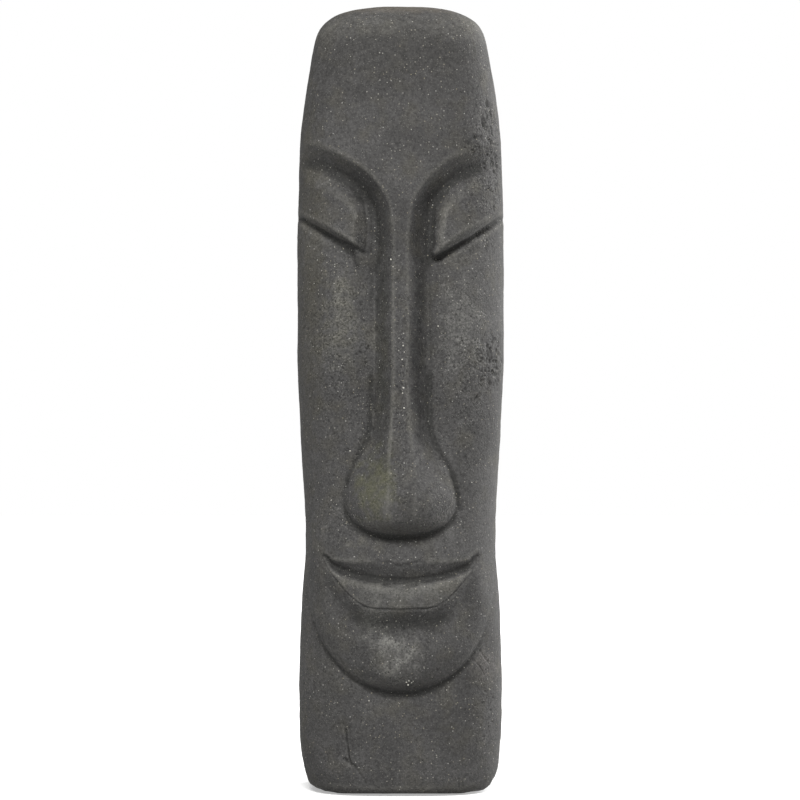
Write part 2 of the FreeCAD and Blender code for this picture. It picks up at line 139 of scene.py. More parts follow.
castings = [nodes[name] for name in ("front_shell", "seam_mortar", "back_shell")]
shell_low = Vector([min(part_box(c.name)[0][axis] for c in castings) for axis in range(3)])
shell_high = Vector([max(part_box(c.name)[1][axis] for c in castings) for axis in range(3)])
sleeve_half = shell_high.x + SLEEVE_CLEARANCE
sleeve_deep = (shell_high.y - shell_low.y) / 2 + SLEEVE_CLEARANCE
sleeve_middle = (shell_high.y + shell_low.y) / 2
crown_start = shell_high.z - CROWN_RISE
print("sleeve", [round(2 * v / MM) for v in (sleeve_half, sleeve_deep)], "mm across and deep")


# %% Draw the sleeve up from its foot ring
def draw_out(rise, scale=1.0):
    """Extrude the selected ring upwards and scale it about the figure's axis."""
    bpy.ops.mesh.extrude_region_move(TRANSFORM_OT_translate={"value": (0, 0, rise)})
    if scale != 1.0:
        bpy.ops.transform.resize(value=(scale, scale, 1), center_override=(0, sleeve_middle, 0))


def select_ring(thing, level):
    """In edit mode, select the vertices at one height."""
    bpy.ops.mesh.select_all(action="DESELECT")
    mesh = bmesh.from_edit_mesh(thing.data)
    for vertex in mesh.verts:
        vertex.select = abs(vertex.co.z - level) < SAME_LEVEL
    mesh.select_flush_mode()
    bmesh.update_edit_mesh(thing.data)


def make_sleeve():
    """An oval ring drawn up in rows and closed over the crown."""
    bpy.ops.object.select_all(action="DESELECT")
    bpy.ops.mesh.primitive_circle_add(
        vertices=RING_POINTS, radius=1, fill_type="NOTHING",
        location=(0, sleeve_middle, FIRST_ROW),
    )
    sleeve = bpy.context.object
    sleeve.name = "figure_skin"
    sleeve.scale = (sleeve_half, sleeve_deep, 1)
    bpy.ops.object.transform_apply(location=True, rotation=True, scale=True)
    bpy.ops.object.mode_set(mode="EDIT")
    bpy.ops.mesh.select_all(action="SELECT")
    lift = (crown_start - FIRST_ROW) / LIFTS
    for _ in range(LIFTS):
        draw_out(lift)
    bpy.ops.mesh.select_mode(type="EDGE")
    bpy.ops.mesh.select_all(action="DESELECT")
    upright = bmesh.from_edit_mesh(sleeve.data)
    for edge in upright.edges:
        edge.select = abs(edge.verts[0].co.z - edge.verts[1].co.z) > ROW_STEP
    bmesh.update_edit_mesh(sleeve.data)
    bpy.ops.mesh.subdivide(number_cuts=round(lift / ROW_STEP) - 1)
    bpy.ops.mesh.select_mode(type="VERT")
    select_ring(sleeve, crown_start)
    turned = [math.pi / 2 * index / CROWN_ROWS for index in range(CROWN_ROWS)]
    for before, after in zip(turned, turned[1:]):
        rise = (math.sin(after) - math.sin(before)) * (CROWN_RISE + SLEEVE_CLEARANCE)
        draw_out(rise, math.cos(after) / math.cos(before))
    bpy.ops.mesh.extrude_region_move()
    bpy.ops.mesh.merge(type="CENTER")
    bpy.ops.mesh.select_all(action="SELECT")
    bpy.ops.mesh.normals_make_consistent(inside=False)
    bpy.ops.object.mode_set(mode="OBJECT")
    return sleeve


skin = make_sleeve()
print("sleeve", len(skin.data.vertices), "vertices")

# %% [markdown]
# ## Pulled tight
#
# The castings and the mortar are copied and merged into one target, because a CAD
# node is never changed itself. Shrinkwrap has several ways to find the target. The
# nearest point would bunch the rows up on every ridge, so this projects along the
# normals instead, and only inwards, and says how far the vertices went.

# %% Pull the sleeve on to the castings
MERGE_WITHIN = 0.02 * MM
PULL_LIMIT = 0.2  # metres: further than any vertex has to go
NOT_MOVED = 1e-6  # metres: a vertex that went less than this has met nothing


def joined_copy(things, name):
    """One mesh from copies of several, with the doubled edges between them merged."""
    copies = []
    for thing in things:
        copy = thing.copy()
        copy.data = thing.data.copy()
        bpy.context.scene.collection.objects.link(copy)
        copies.append(copy)
    only(*copies)
    bpy.ops.object.join()
    whole = bpy.context.object
    whole.name = name
    whole.parent = None
    bpy.ops.object.mode_set(mode="EDIT")
    bpy.ops.mesh.select_all(action="SELECT")
    bpy.ops.mesh.remove_doubles(threshold=MERGE_WITHIN)
    bpy.ops.object.mode_set(mode="OBJECT")
    return whole


blank = joined_copy(castings, "blank")
before = read_points(skin)
apply_modifier(
    skin, "SHRINKWRAP", target=blank, wrap_method="PROJECT",
    use_negative_direction=True, use_positive_direction=False, project_limit=PULL_LIMIT,
)
travel = np.linalg.norm(read_points(skin) - before, axis=1)
print("pulled in by", (travel.min() / MM).round(2), "to", (travel.max() / MM).round(1), "mm;",
      int((travel < NOT_MOVED).sum()), "vertices missed")

# %% [markdown]
# ## Softening and waviness
#
# Cement takes up the mould's small faults: the surface wavers over a few
# centimetres and is rough over a few millimetres. Three Displace modifiers with
# cloud textures of those sizes give that. Noise in a material's bump would be
# lighter, but the outline would stay dead smooth. They push almost only inwards,
# so that the figure keeps its overall size.

# %% Soften and roughen the whole skin
STAYS_PUT = 0.75  # the cloud value, from 0 to 1, that moves nothing; less goes inwards


def clouds(name, size):
    """A cloud texture whose lumps are about this size."""
    texture = bpy.data.textures.new(name, "CLOUDS")
    texture.noise_scale = size
    texture.noise_depth = 2
    return texture


apply_modifier(skin, "SMOOTH", factor=0.4, iterations=2)
for name, size, strength in (
    ("mould_waves", 48 * MM, 1.5 * MM),
    ("trowelled_patches", 15 * MM, 0.6 * MM),
    ("coarse_grit", 4.5 * MM, 0.35 * MM),
):
    apply_modifier(
        skin, "DISPLACE", texture=clouds(name, size), texture_coords="LOCAL",
        direction="NORMAL", strength=strength, mid_level=STAYS_PUT,
    )
print("skin after roughening", [round(v / MM, 1) for v in read_points(skin).max(axis=0)])

# %% [markdown]
# ## Places on the face
#
# A sculptor points at the face: this far across, this far up. Most of the damage
# below is placed like that, in millimetres from the middle of the foot, seen from
# the front; the joint and the chips at the foot are placed in depth too. These
# helpers measure each vertex against such a place or line, and their first use is
# to smooth away the inner end of the left eyelid, which is rubbed down here.

# %% Measure on the front of the figure
FAR = 1e9  # mm: the distance given to what isn't on the front
JOINT_STRIP = 2 * MM  # left out in front of the joint


def front_places(points):
    """Across and up on the front of the figure, in millimetres."""
    return points[:, 0] / MM, points[:, 2] / MM


def all_edges(mesh):
    """The two vertices of every edge, as an array."""
    edges = np.empty(len(mesh.edges) * 2, np.int32)
    mesh.edges.foreach_get("vertices", edges)
    return edges.reshape(-1, 2)


def neighbour_average(values, edges):
    """Each vertex's neighbours, averaged."""
    summed = np.zeros_like(values)
    count = np.bincount(edges.ravel(), minlength=len(values))
    for a, b in ((0, 1), (1, 0)):
        for axis in range(values.shape[1]):
            summed[:, axis] += np.bincount(edges[:, a], values[edges[:, b], axis], len(values))
    return summed / count[:, None]


def stroke_distance(points, path):
    """Distance of each vertex, seen from the front, from a line through places in mm."""
    across, up = front_places(points)
    nearest = np.full(len(points), FAR)
    for (x0, z0), (x1, z1) in zip(path, path[1:]):
        run_x, run_z = x1 - x0, z1 - z0
        share = ((across - x0) * run_x + (up - z0) * run_z) / (run_x ** 2 + run_z ** 2)
        share = np.clip(share, 0, 1)
        away = np.hypot(across - x0 - share * run_x, up - z0 - share * run_z)
        nearest = np.minimum(nearest, away)
    nearest[points[:, 1] > parting - JOINT_STRIP] = FAR
    return nearest


# %% Rub down the left lid's inner end
RUBBED_LID = ((-32, 531), (13, 37))  # its middle and half sizes, in mm
LID_PASSES = 70
PASS_STRENGTH = 0.8
FULL_WITHIN = 1.5  # the smoothing is full over about the middle half of the patch


def rub_down(thing, middle, half, passes):
    """Smooth one place on the front, most in its middle."""
    points = read_points(thing)
    edges = all_edges(thing.data)
    across, up = front_places(points)
    share = 1 - ((across - middle[0]) / half[0]) ** 2 - ((up - middle[1]) / half[1]) ** 2
    share = np.clip(share * FULL_WITHIN, 0, 1) * (points[:, 1] < parting)
    for _ in range(passes):
        points += (neighbour_average(points, edges) - points) * share[:, None] * PASS_STRENGTH
    write_points(thing, points)


before = read_points(skin)
rub_down(skin, *RUBBED_LID, LID_PASSES)
print("lid moved by up to", (np.abs(read_points(skin) - before).max() / MM).round(1), "mm")

# %% [markdown]
# ## Cracks, pits and crumbled places
#
# A casting's faults have causes: shrinkage opens cracks, trapped air leaves pits,
# and where the cement didn't fill the mould the surface crumbles. They could be
# cut with Booleans, one by one, but a fault is only skin deep, so each is a
# distance that the vertices near it are pressed in by. It is finer than the mesh,
# so the faces round it are first divided, and only there.

# %% Where the faults are
# Each crack or groove: the places it runs through (across, up), its half width and
# its depth, in mm.
CRACKS = (
    (((-52, 64), (-51.5, 56), (-50, 45), (-48.5, 35), (-47, 30)), 1.1, 2.4),
    (((-48, 55), (-53, 46), (-61, 37)), 1.0, 0.7),
    (((-54, 36), (-48, 32), (-43, 29)), 1.8, 1.7),
    (((-47, 31), (-40, 25), (-33, 13)), 1.5, 1.1),
    (((-66, 64), (-62, 69), (-55, 70), (-50, 66)), 1.5, 1.0),
    (((56, 17), (56.5, 9)), 0.8, 1.2),
    (((76, 139), (81, 131), (85, 126)), 1.0, 0.7),
    (((69, 131), (75, 125), (80, 116)), 0.9, 0.5),
    (((71, 379), (79, 390), (86, 403), (90, 417), (96, 441)), 1.4, 1.5),
    (((78, 381), (85, 388), (94, 400)), 1.2, 1.1),
    (((75, 397), (81, 407), (84, 420), (87, 436)), 1.2, 1.0),
    (((-82, 131), (-73, 126), (-62, 122)), 1.8, 0.5),
    (((-35, 566), (-32.5, 545), (-33.5, 522)), 1.6, 0.9),
    (((-28, 552), (-27, 536), (-28, 520)), 1.3, 0.6),
    (((-15, 204), (0, 200.5), (15, 204)), 2.0, 1.3),  # the upper lip's bow, below
    (((-19, 226), (0, 221), (19, 226)), 2.4, 1.0),  # and above
    (((-38, 548), (-37, 530)), 1.2, 0.5),
)
# Each pitted patch: its middle (across, up), its half sizes, how many pits, their
# radii and their depth, in mm.
PITTED = (
    ((-60, 445), (36, 42), 70, (0.8, 1.7), 0.9),
    ((-34, 425), (9, 16), 10, (1.0, 2.0), 1.3),
    ((-70, 292), (18, 30), 16, (0.8, 1.5), 0.7),
    ((84, 410), (14, 32), 46, (0.8, 2.0), 1.2),
    ((88, 612), (9, 50), 46, (0.8, 1.9), 1.2),
    ((70, 622), (10, 9), 14, (0.8, 1.8), 0.9),
    ((80, 90), (12, 40), 14, (0.8, 1.6), 0.8),
    ((-60, 108), (26, 16), 16, (0.8, 1.5), 0.6),
)
# Each crumbled patch, where the cement didn't fill the mould: its middle, its half
# sizes and its depth, in mm.
CRUMBLED = (
    ((85, 412), (15, 34), 1.6),
    ((84, 644), (8, 26), 1.6),
    ((72, 622), (13, 11), 1.5),
    ((90, 590), (8, 36), 1.0),
    ((-66, 440), (30, 60), 0.5),
    ((62, 350), (30, 40), 0.4),
    ((-72, 122), (22, 12), 0.6),
)
LID_LINE = ((32, 512.5), (45, 519.5), (57, 526.5), (73, 536.5), (87, 546), (97, 553.5))
NOSE_LINE = ((57, 275), (55, 292), (50, 308), (43, 322), (34, 337), (29, 352), (27.5, 375), (27.5, 400))
LEFT_LID_LINE = ((-35, 519), (-45, 523.5), (-57, 529), (-73, 538), (-87, 547), (-97, 554))
LIP_LINE = ((0, 180), (23.5, 180.5), (34, 182.5), (44.5, 189), (54, 198), (66.5, 213), (75.5, 228.5))


def mirrored(path):
    """The same line on the other side of the face."""
    return tuple((-x, z) for x, z in path)


print(len(CRACKS), "cracks and grooves,", len(PITTED), "pitted and", len(CRUMBLED), "crumbled patches")


# %% Divide the faces where the faults go
LINE_REACH = 2.5  # mm of face divided beside a carved line
CRACK_REACH = 1.5  # and past a crack's half width
FINE_CRUMBLED = CRUMBLED[:4]  # the deeper ones; the rest are broad and need no finer mesh


def divide_faces(thing, wanted):
    """Subdivide once the faces whose centres the test wants, and count them."""
    mesh = thing.data
    centres = np.empty(len(mesh.polygons) * 3, np.float32)
    mesh.polygons.foreach_get("center", centres)
    chosen = wanted(centres.reshape(-1, 3).astype(float))
    only(thing)
    bpy.ops.object.mode_set(mode="EDIT")
    bpy.ops.mesh.select_mode(type="FACE")
    bpy.ops.mesh.select_all(action="DESELECT")
    bpy.ops.object.mode_set(mode="OBJECT")
    mesh.polygons.foreach_set("select", chosen)
    bpy.ops.object.mode_set(mode="EDIT")
    bpy.ops.mesh.subdivide(number_cuts=1)
    bpy.ops.mesh.select_mode(type="VERT")
    bpy.ops.object.mode_set(mode="OBJECT")
    return int(chosen.sum())


def near_pits_and_lips(centres):
    across, up = front_places(centres)
    near = np.zeros(len(centres), bool)
    for path in (LIP_LINE, mirrored(LIP_LINE), LID_LINE, LEFT_LID_LINE):
        near |= stroke_distance(centres, path) < LINE_REACH
    for (x, z), (half_x, half_z), *_ in PITTED + FINE_CRUMBLED:
        near |= ((across - x) / half_x) ** 2 + ((up - z) / half_z) ** 2 < 1
    return near & (centres[:, 1] < parting)


def near_cracks(centres):
    near = [stroke_distance(centres, path) < width + CRACK_REACH for path, width, _ in CRACKS]
    return np.any(near, axis=0)


for wanted in (near_pits_and_lips, near_cracks):
    print(wanted.__name__, divide_faces(skin, wanted), "faces; vertices", len(skin.data.vertices))

# %% [markdown]
# ## Pressing the faults in
#
# Nothing broken is even, so every fault's depth is varied by a smooth random noise,
# and cracks wander by it. The noise blends random numbers on a cubic lattice. Sums
# of sine waves would be shorter to write, but they repeat and show as a grid. The
# random numbers start from a fixed seed, so the same faults come out each time.
# Each fault function gives a depth in mm for every vertex, and the deepest wins.

# %% Smooth random noise
SEED = 23
LATTICE_CELLS = 32  # each way, before the noise repeats
rng = np.random.default_rng(SEED)


def press(thing, depth):
    """Push each vertex in against its normal by its own depth in mm."""
    write_points(thing, read_points(thing) - read_normals(thing) * (depth * MM)[:, None])


lattice = rng.uniform(-1, 1, (LATTICE_CELLS, LATTICE_CELLS, LATTICE_CELLS))


def grain_noise(points, size):
    """Smooth noise from -1 to 1 whose lumps are about this size in mm."""
    places = points / (size * MM)
    cell = np.floor(places).astype(int)
    share = places - cell
    share = share * share * (3 - 2 * share)
    total = np.zeros(len(points))
    for corner in np.ndindex(2, 2, 2):
        weight = np.prod(np.where(corner, share, 1 - share), axis=1)
        x, y, z = ((cell + corner) % LATTICE_CELLS).T
        total += weight * lattice[x, y, z]
    return total


print("lattice of", lattice.size, "random numbers")


# %% Cracks, crumbled patches and pits
PIT_FLATTENED = 1.2


def cracked(points):
    """Full depth along a wandering line, and fading past about its half width."""
    depth = np.zeros(len(points))
    wander = grain_noise(points, 5) * 0.5 + grain_noise(points, 2.2) * 0.3
    for path, width, deep in CRACKS:
        away = np.abs(stroke_distance(points, path) + wander)
        uneven = 0.75 + 0.45 * grain_noise(points, 11)
        depth = np.maximum(depth, deep * uneven * np.clip(1.25 - away / width, 0, 1))
    return depth


def crumbled(points):
    """Lumps of two sizes, deepest in the middle of each patch."""
    across, up = front_places(points)
    lumps = grain_noise(points, 6.5) + 0.9 * grain_noise(points, 3.1)
    lumps = np.clip(0.30 + 1.1 * lumps, 0, 1.4)  # where this is 0 the face stays whole
    depth = np.zeros(len(points))
    for (x, z), (half_x, half_z), deep in CRUMBLED:
        inside = 1 - ((across - x) / half_x) ** 2 - ((up - z) / half_z) ** 2
        depth = np.maximum(depth, deep * lumps * np.clip(1.6 * inside, 0, 1))
    return np.where(points[:, 1] < parting, depth, 0)


def pitted(points):
    """Round hollows, a little flattened, thrown at random into each patch."""
    depth = np.zeros(len(points))
    across, up = front_places(points)
    for (x, z), (half_x, half_z), count, (small, large), deep in PITTED:
        turn = rng.uniform(0, 2 * math.pi, count)
        out = np.sqrt(rng.uniform(0, 0.9, count))
        sizes = rng.uniform(small, large, count)
        for angle, share, radius in zip(turn, out, sizes):
            middle_x = x + half_x * share * math.cos(angle)
            middle_z = z + half_z * share * math.sin(angle)
            away = np.hypot(across - middle_x, (up - middle_z) * PIT_FLATTENED) / radius
            pit = deep * np.clip(1 - away ** 2, 0, 1)
            depth = np.maximum(depth, np.where(points[:, 1] < parting, pit, 0))
    return depth


# %% Carved lines and the struck joint
# Each pair of lines, left and right, with its half width and depth in mm.
CARVED = (
    ((LIP_LINE, mirrored(LIP_LINE)), 1.1, 1.5),
    ((LID_LINE, LEFT_LID_LINE), 2.6, 3.2),
    ((NOSE_LINE, mirrored(NOSE_LINE)), 3.5, 1.3),
)
MOUTH_CORNER = ((69, 227), (74, 230))
CORNER_WIDTH = CORNER_DEPTH = 2.2
JOINT_WIDTH, JOINT_DEPTH = 4.2, 0.9


def cut_lines(points):
    """Lines cut along the lower lip, under the lids and round the nose, and the mouth's corners."""
    depth = np.zeros(len(points))
    for paths, width, deep in CARVED:
        uneven = 0.85 + 0.3 * grain_noise(points, 13)
        edge = np.min([stroke_distance(points, path) for path in paths], axis=0)
        depth = np.maximum(depth, deep * uneven * np.exp(-(edge / width) ** 2))
    for path in (mirrored(MOUTH_CORNER), MOUTH_CORNER):
        corner = stroke_distance(points, path)
        depth = np.maximum(depth, CORNER_DEPTH * np.exp(-(corner / CORNER_WIDTH) ** 2))
    return depth


def struck_joint(points):
    """The joint all round, where surplus mortar was struck off and left ragged."""
    middle = (parting + mortar_back) / 2
    away = np.abs(points[:, 1] - middle) / MM + 1.2 * grain_noise(points, 9)
    ragged = 0.45 + 0.5 * grain_noise(points, 7) + 0.5 * grain_noise(points, 3.4)
    return JOINT_DEPTH * np.clip(ragged, 0, 1.3) * np.exp(-(away / JOINT_WIDTH) ** 2)


points = read_points(skin)
faults = [
    cracked(points), pitted(points), crumbled(points), cut_lines(points), struck_joint(points),
]
press(skin, np.max(faults, axis=0))
print("pressed in", sum(patch[2] for patch in PITTED), "pits; deepest fault",
      np.max(faults).round(1), "mm")

# %% [markdown]
# ## Chipped foot
#
# A head of 14 kg is walked about on its edges, and the corners of the foot break
# off, in flat flakes or in hollow bites. A flake here is a plane, and a bite is an
# egg-shaped hollow: what stands past the plane or inside the egg is pushed back on
# to it, as a rasp would take it off, with a little roughness left. A Boolean would
# leave a clean cut with a sharp rim, which cement never has.

# %% Break the corners of the foot
# Each flake: two places on its edge (across, up), and how rough the break is, in mm.
FLAKES = (
    ((-94, 27), (-88.5, 6), 0.5),
    ((-90, 7), (-66, 1.5), 0.6),
    ((97.5, 22), (92.5, 12), 0.5),
    ((91, 9.5), (80, 1.5), 0.6),
)
FLAKE_LIMIT = 6 * MM  # the most that a flake takes off
# Each bite, where the break is hollow like a shell: its middle and half sizes, in mm.
BITES = (
    ((100, -18, 5), (13.5, 115, 11.5)),
    ((-96, -62, 8), (9, 16, 12)),
    ((60, -84, -1), (16, 9, 6)),
    ((-20, 100, 1), (26, 12, 7)),
)
EGG_HEART = 0.3  # share of a bite's size inside which a point isn't pushed further
BOX_MARGIN = 0.05 * MM


def break_corners(points):
    """The vertices with the foot's bites and flakes taken off."""
    broken = points.copy()
    for middle, half in BITES:
        away = (broken / MM - middle) / half
        reach = np.linalg.norm(away, axis=1) + 0.06 * grain_noise(broken, 6)
        away /= np.clip(reach, EGG_HEART, 1)[:, None]
        broken = (away * half + middle) * MM
    for (x0, z0), (x1, z1), rough in FLAKES:
        outward = np.array((z0 - z1, 0, x1 - x0), float)
        outward *= np.sign(outward[0] * (x0 + x1)) / np.linalg.norm(outward)
        past = (broken - np.array((x0, 0, z0)) * MM) @ outward
        past += grain_noise(broken, 7) * rough * MM
        broken -= np.clip(past, 0, FLAKE_LIMIT)[:, None] * outward
    return broken


write_points(skin, break_corners(read_points(skin)))
kept = np.clip(read_points(skin), np.array(low) + BOX_MARGIN, np.array(high) - BOX_MARGIN)
kept[:, 2] = np.maximum(kept[:, 2], FIRST_ROW)
write_points(skin, kept)
print("skin spans", (np.ptp(kept, axis=0) / MM).round(1), "mm")

# %% [markdown]
# ## Worn edges and painted shade in the grooves
#
# Handling and weather polish the ridges of a cement casting paler. The grooves are
# darkened as painted shade, and so are lines under the brows and the lower lip, and
# a painted highlight runs down the left edge of the nose. The mesh knows which is
# which: a vertex that stands out from the average of its neighbours is on a ridge.
# That is stored as a number on each vertex, an attribute which the stone material
# reads. Geometry's Pointiness measures much the same, but only in Cycles, and not
# in millimetres.

# %% Measure ridges and grooves
WEAR_BLUR = 6  # passes; each reaches one more row of vertices
WEAR_LIMIT = 2  # mm; more than this says nothing new


def store_wear(thing):
    """Millimetres that a ridge stands out by, or a groove lies in by, below nought."""
    mesh = thing.data
    edges = all_edges(mesh)
    points = read_points(thing)
    blurred = points
    for _ in range(WEAR_BLUR):
        blurred = neighbour_average(blurred, edges)
    standing = ((points - blurred) * read_normals(thing)).sum(axis=1) / MM
    standing += rubbed_and_painted_light(points) - np.median(standing)
    attribute = mesh.attributes.new("wear_and_painted_light", "FLOAT", "POINT")
    attribute.data.foreach_set("value", np.clip(standing, -WEAR_LIMIT, WEAR_LIMIT).astype(np.float32))
    return standing


# Lines made paler or, where the strength is below nought, darker: painted shade
# under the brows and the lower lip, a painted highlight down the left edge of the
# nose, and the rest rubbed paler. Their places (across, up), half width in mm and
# strength.
BROW_SHADE = ((92, 606), (70, 602), (46, 591), (31, 574), (22, 550), (19, 526), (17, 470))
RUBBED_AND_PAINTED_LIGHT_LINES = (
    # Painted shade under the brows and under the lower lip.
    (mirrored(BROW_SHADE), 8.0, -0.42),
    (BROW_SHADE, 7.0, -0.34),
    (((-48, 173), (-30, 167), (0, 165), (30, 167), (48, 173)), 6.0, -0.22),
    # A painted highlight down the left edge of the nose's ridge.
    (((-9, 262), (-11.5, 285), (-11, 320), (-9.2, 352), (-7.6, 400), (-7.4, 520)), 1.0, 0.9),
    # Rubbed paler.
    (((-27.5, 345), (-25.5, 372), (-25, 425), (-25, 500)), 0.9, 0.9),
    (((-69, 222), (-61, 211.5), (-49, 197), (-38, 187), (-28, 184), (0, 183.5)), 1.0, 0.5),
    (((0, 183.5), (28, 184), (38, 188), (50, 199), (60, 211)), 1.0, 0.3),
    (((26, 500), (26, 400), (28, 360)), 1.2, 0.5),
    (((66, 121), (76, 133), (84, 146)), 1.8, 0.7),
    (((-80, 238), (-70, 262), (-59, 271)), 2.5, 0.5),
)


def rubbed_and_painted_light(points):
    """Wear added along the rubbed lines, with painted shade and a painted highlight along others."""
    worn_and_shaded = np.zeros(len(points))
    for path, width, strength in RUBBED_AND_PAINTED_LIGHT_LINES:
        broken = 0.65 + 0.6 * grain_noise(points, 6)
        worn_and_shaded += strength * broken * np.exp(-(stroke_distance(points, path) / width) ** 2)
    return worn_and_shaded


standing = store_wear(skin)
print("stands out by", np.percentile(standing, (1, 50, 99)).round(2), "mm")

# %% [markdown]
# ## Hollow, and in two halves
#
# The head is cast as two shells, round a lining of glass cloth and over a base
# plate. A Solidify modifier would give a wall that copies every crack inside out.
# So a core, made from the hull of those inner pieces, is taken out of the skin with
# a Boolean, which leaves the smooth inside that a core leaves in a mould.

# %% Close the foot and take out the core
BELOW_FOOT = 1 * MM  # how far the core stands out at the bottom
CORE_FOOT = 0.5 * MM  # what is this near the core's lowest point is its foot


def close_foot(thing):
    """Fill the open ring at the bottom with one face."""
    only(thing)
    bpy.ops.object.mode_set(mode="EDIT")
    select_ring(thing, FIRST_ROW)
    bpy.ops.mesh.edge_face_add()
    bpy.ops.mesh.select_all(action="SELECT")
    bpy.ops.mesh.normals_make_consistent(inside=False)
    bpy.ops.object.mode_set(mode="OBJECT")


def make_core():
    """The hull of the lining, the base plate and its mortar bed."""
    inner = [nodes[name] for name in ("front_scrim", "back_scrim", "base_plate", "base_mortar")]
    core = joined_copy(inner, "core")
    bpy.ops.object.mode_set(mode="EDIT")
    bpy.ops.mesh.select_all(action="SELECT")
    bpy.ops.mesh.convex_hull()
    bpy.ops.mesh.select_all(action="SELECT")
    bpy.ops.mesh.normals_make_consistent(inside=False)
    bpy.ops.object.mode_set(mode="OBJECT")
    return core


close_foot(skin)
core = make_core()
core_points = read_points(core)
core_foot = core_points[:, 2] < core_points[:, 2].min() + CORE_FOOT
core_points[core_foot, 2] = foot_level - BELOW_FOOT
write_points(core, core_points)
print("core", (np.ptp(core_points, axis=0) / MM).round(1), "mm")
apply_modifier(skin, "BOOLEAN", operation="DIFFERENCE", object=core, solver="EXACT")
print("hollow skin", len(skin.data.vertices), "vertices")

# %% [markdown]
# ## Two castings and their joint
#
# The mortar is a strip of even thickness between two flat faces, so three copies
# of the hollow skin are each cut by one or two planes with Bisect, which
# also fills the cut. Cracks and grain then run on from one piece to the next, which
# three pieces made apart could never do. Each piece stands for its plain CAD node,
# rides on the figure's one body, root, and is given its finish below, by its name.

# %% Cut the skin at both faces of the mortar joint
SMOOTH_BELOW = math.radians(48)  # sharper edges than this stay sharp
ON_PLANE = 1e-6  # metres


def cut_piece(source, name, cuts):
    """A copy of the skin, cut by planes across the depth and closed there."""
    piece = source.copy()
    piece.data = source.data.copy()
    piece.name = name
    bpy.context.scene.collection.objects.link(piece)
    only(piece)
    bpy.ops.object.mode_set(mode="EDIT")
    for depth, keep_front in cuts:
        bpy.ops.mesh.select_all(action="SELECT")
        bpy.ops.mesh.bisect(
            plane_co=(0, depth, 0), plane_no=(0, 1, 0), use_fill=True,
            clear_outer=keep_front, clear_inner=not keep_front, threshold=ON_PLANE,
        )
    bpy.ops.object.mode_set(mode="OBJECT")
    bpy.ops.object.shade_smooth_by_angle(angle=SMOOTH_BELOW)
    return piece


front_casting = cut_piece(skin, "front_casting", ((parting, True),))
seam_patch = cut_piece(skin, "seam_patch", ((parting, False), (mortar_back, True)))
back_casting = cut_piece(skin, "back_casting", ((mortar_back, False),))
for scrap in (skin, blank, core):
    bpy.data.objects.remove(scrap)
for piece, node in (
    (front_casting, "front_shell"), (seam_patch, "seam_mortar"), (back_casting, "back_shell"),
):
    triangles = sum(len(face.vertices) - 2 for face in piece.data.polygons)
    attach(piece, "root")
    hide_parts(node)
    print(piece.name, triangles, "triangles")

# %% [markdown]
# ## Stone, mortar, glass cloth and rubber
#
# A material can be painted by hand, or built from nodes. Nodes are used here,
# because they need no picture and follow the object's own coordinates, so that a
# pattern given in millimetres keeps its true size. Two small functions do the
# work: one turns a colour from a paint chart into the linear one that sockets
# take, and one adds a node with its settings and links.

# %% A small kit for materials
def paint(value):
    """An sRGB hex colour as the linear colour that Blender's sockets take."""
    parts = [int(value[at:at + 2], 16) / 255 for at in (1, 3, 5)]
    return tuple(c / 12.92 if c <= 0.04045 else ((c + 0.055) / 1.055) ** 2.4 for c in parts) + (1,)


def add_node(tree, kind, *values, named=None, output=0, **settings):
    """Add a node, fill its sockets in order or by name with numbers or links; give one output."""
    node = tree.nodes.new(kind)
    for name, value in settings.items():
        setattr(node, name, value)
    for socket, value in (dict(enumerate(values)) | (named or {})).items():
        if isinstance(value, bpy.types.NodeSocket):
            tree.links.new(value, node.inputs[socket])
        else:
            node.inputs[socket].default_value = value
    return node.outputs[output]


def new_material(name, colour, roughness, specular):
    """A Principled material, with its node tree and shader."""
    material = bpy.data.materials.new(name)
    material.use_nodes = True
    shader = material.node_tree.nodes["Principled BSDF"]
    shader.inputs["Base Color"].default_value = paint(colour)
    shader.inputs["Roughness"].default_value = roughness
    shader.inputs["Specular IOR Level"].default_value = specular
    return material, material.node_tree, shader


print("black and white are", paint("#000000"), paint("#ffffff"))

# %% [markdown]
# The stone is Portland cement dyed charcoal, with sand and dark grit. To the eye
# that is a matt, mottled grey with pale specks of quartz, small dark pores where
# air bubbles broke the surface, and stains where water runs or hands rub. More
# patches of the same kind are painted shade, on the top of the forehead, under the
# lids, nose and lips, down the sides of the nose and on the left jaw, and painted
# highlights, on the cheeks, lower lip and chin; a pale brown band round the crown
# is partly painted light on the top. Each patch is a soft-edged egg in space, so
# it wraps round the carving, as a real stain does and a picture laid on from the
# front would not.

